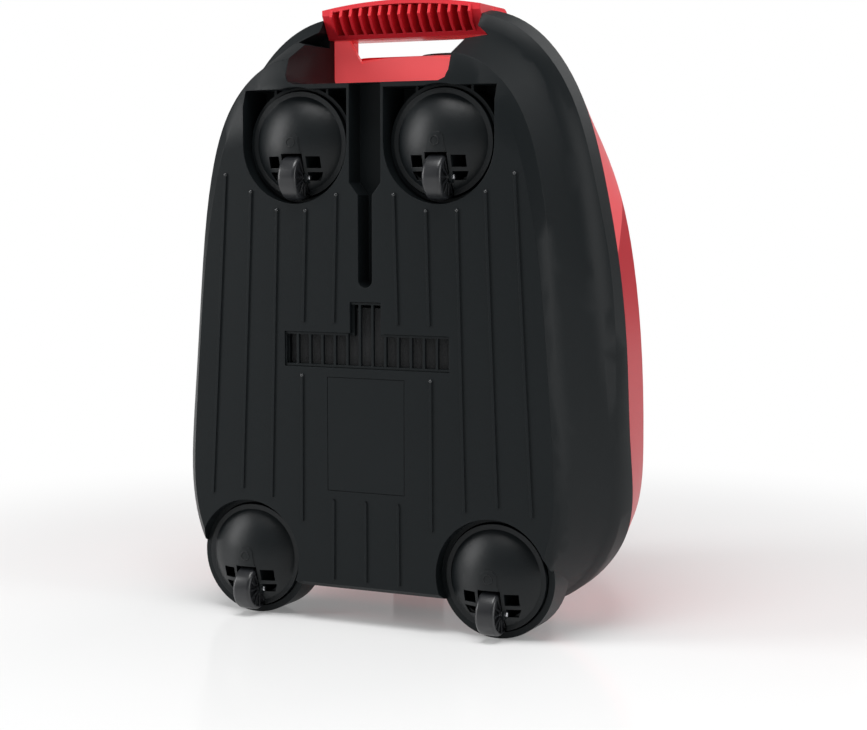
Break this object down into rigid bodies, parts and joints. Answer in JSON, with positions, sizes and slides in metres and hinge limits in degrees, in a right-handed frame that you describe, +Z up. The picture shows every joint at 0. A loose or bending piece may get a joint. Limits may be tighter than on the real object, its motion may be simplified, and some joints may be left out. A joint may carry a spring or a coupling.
{
  "type": "cylinder vacuum cleaner",
  "caption": "Compact bagged cylinder vacuum cleaner parked upright: black base with swivel casters, red lid and ribbed carry handle.",
  "frame": {"origin": "on the floor plane that the parked machine stands on, at the middle of its box", "axes": "+Z up the machine from its rear end to its carry handle, X across it, the underside with the casters faces -Y and the lid faces +Y"},
  "size_m": [0.289, 0.2426, 0.373],
  "materials": {
    "black_shell": "fine moulded texture",
    "caster_black": "fine moulded texture",
    "wheel_black": "smooth",
    "steel": "satin",
    "stud_black": "smooth",
    "red_gloss": "gloss",
    "red_grip": "semi-gloss",
    "black_gloss": "gloss",
    "rubber": "matte",
    "grey_plastic": "fine moulded texture",
    "filter_foam": "open foam",
    "bag_cloth": "nonwoven fleece",
    "card": "matte",
    "board_green": "matte",
    "motor_core": "machined",
    "bearing_steel": "polished"
  },
  "bodies": {
    "root": {"base_shell": "black_shell", "exhaust_grille": "black_shell", "rating_plate": "black_shell", "foot_brackets": "black_shell", "cable_gland": "black_shell", "hinge_pin": "steel", "shell_screws": "steel", "board_screws": "steel", "motor_casing": "steel", "drum_axle": "steel", "brake_pin": "steel", "caster_studs": "stud_black", "body_ring": "red_gloss", "front_panel": "red_gloss", "rear_cover": "red_gloss", "handle_cover": "red_gloss", "handle_grip": "red_grip", "control_panel": "black_gloss", "lid_seal": "rubber", "motor_front_seal": "rubber", "motor_rear_mount": "rubber", "rear_feet": "rubber", "bulkhead": "grey_plastic", "exhaust_duct": "grey_plastic", "motor_cradle": "grey_plastic", "filter_frame": "grey_plastic", "bag_holder": "grey_plastic", "motor_filter": "filter_foam", "exhaust_filter": "filter_foam", "dust_bag": "bag_cloth", "bag_plate": "card", "control_board": "board_green", "motor_stator": "motor_core", "motor_bearing": "bearing_steel"},
    "lid_body": {"lid": "red_gloss", "inlet_collar": "black_gloss", "inlet_seal": "rubber"},
    "latch_body": {"lid_latch": "black_gloss"},
    "dial_body": {"power_dial": "black_gloss"},
    "power_button_body": {"power_button": "black_gloss"},
    "rewind_button_body": {"rewind_button": "black_gloss"},
    "rotor_body": {"motor_rotor": "motor_core"},
    "drum_body": {"cable_drum": "grey_plastic"},
    "brake_body": {"brake_lever": "grey_plastic"},
    "caster_front_left": {"caster_housing_front_left": "caster_black", "caster_axle_front_left": "steel"},
    "wheel_front_left": {"caster_wheel_front_left": "wheel_black"},
    "caster_front_right": {"caster_housing_front_right": "caster_black", "caster_axle_front_right": "steel"},
    "wheel_front_right": {"caster_wheel_front_right": "wheel_black"},
    "caster_rear_left": {"caster_housing_rear_left": "caster_black", "caster_axle_rear_left": "steel"},
    "wheel_rear_left": {"caster_wheel_rear_left": "wheel_black"},
    "caster_rear_right": {"caster_housing_rear_right": "caster_black", "caster_axle_rear_right": "steel"},
    "wheel_rear_right": {"caster_wheel_rear_right": "wheel_black"}
  },
  "joints": [
    {"name": "lid_hinge", "type": "hinge", "parent": "root", "child": "lid_body", "pos_m": [0, 0.1063, 0.151], "axis": [-1, 0, 0], "range_deg": [0, 80]},
    {"name": "latch_rock", "type": "hinge", "parent": "lid_body", "child": "latch_body", "pos_m": [0, -0.0037, 0.336], "axis": [1, 0, 0], "range_deg": [0, 6], "stiffness_Nm_per_rad": 0.4, "springref_deg": -2.86},
    {"name": "dial_turn", "type": "hinge", "parent": "root", "child": "dial_body", "pos_m": [0, 0.1103, 0.1185], "axis": [0, 1, 0], "range_deg": [-135, 135]},
    {"name": "power_press", "type": "slide", "parent": "root", "child": "power_button_body", "axis": [0, -1, 0], "range_m": [0, 0.003], "stiffness_N_per_m": 400},
    {"name": "rewind_press", "type": "slide", "parent": "root", "child": "rewind_button_body", "axis": [0, -1, 0], "range_m": [0, 0.003], "stiffness_N_per_m": 400},
    {"name": "rotor_spin", "type": "hinge", "parent": "root", "child": "rotor_body", "pos_m": [-0.055, -0.0067, 0.09], "axis": [0, 0, 1], "continuous": true},
    {"name": "drum_spin", "type": "hinge", "parent": "root", "child": "drum_body", "pos_m": [0.058, -0.0467, 0.084], "axis": [0, 1, 0], "continuous": true},
    {"name": "brake_swing", "type": "hinge", "parent": "root", "child": "brake_body", "pos_m": [0.026, -0.0207, 0.139], "axis": [0, 1, 0], "range_deg": [-1.5, 0.4], "stiffness_Nm_per_rad": 0.3, "springref_deg": 1.72},
    {"name": "caster_front_left_swivel", "type": "hinge", "parent": "root", "child": "caster_front_left", "pos_m": [-0.047, -0.1007, 0.286], "axis": [0, 1, 0], "continuous": true},
    {"name": "wheel_front_left_spin", "type": "hinge", "parent": "caster_front_left", "child": "wheel_front_left", "pos_m": [-0.047, -0.1081, 0.2664], "axis": [1, 0, 0], "continuous": true},
    {"name": "caster_front_right_swivel", "type": "hinge", "parent": "root", "child": "caster_front_right", "pos_m": [0.047, -0.1007, 0.286], "axis": [0, 1, 0], "continuous": true},
    {"name": "wheel_front_right_spin", "type": "hinge", "parent": "caster_front_right", "child": "wheel_front_right", "pos_m": [0.047, -0.1081, 0.2664], "axis": [1, 0, 0], "continuous": true},
    {"name": "caster_rear_left_swivel", "type": "hinge", "parent": "root", "child": "caster_rear_left", "pos_m": [-0.0807, -0.1007, 0.036], "axis": [0, 1, 0], "continuous": true},
    {"name": "wheel_rear_left_spin", "type": "hinge", "parent": "caster_rear_left", "child": "wheel_rear_left", "pos_m": [-0.0807, -0.1081, 0.0164], "axis": [1, 0, 0], "continuous": true},
    {"name": "caster_rear_right_swivel", "type": "hinge", "parent": "root", "child": "caster_rear_right", "pos_m": [0.0807, -0.1007, 0.036], "axis": [0, 1, 0], "continuous": true},
    {"name": "wheel_rear_right_spin", "type": "hinge", "parent": "caster_rear_right", "child": "wheel_rear_right", "pos_m": [0.0807, -0.1081, 0.0164], "axis": [1, 0, 0], "continuous": true}
  ]
}
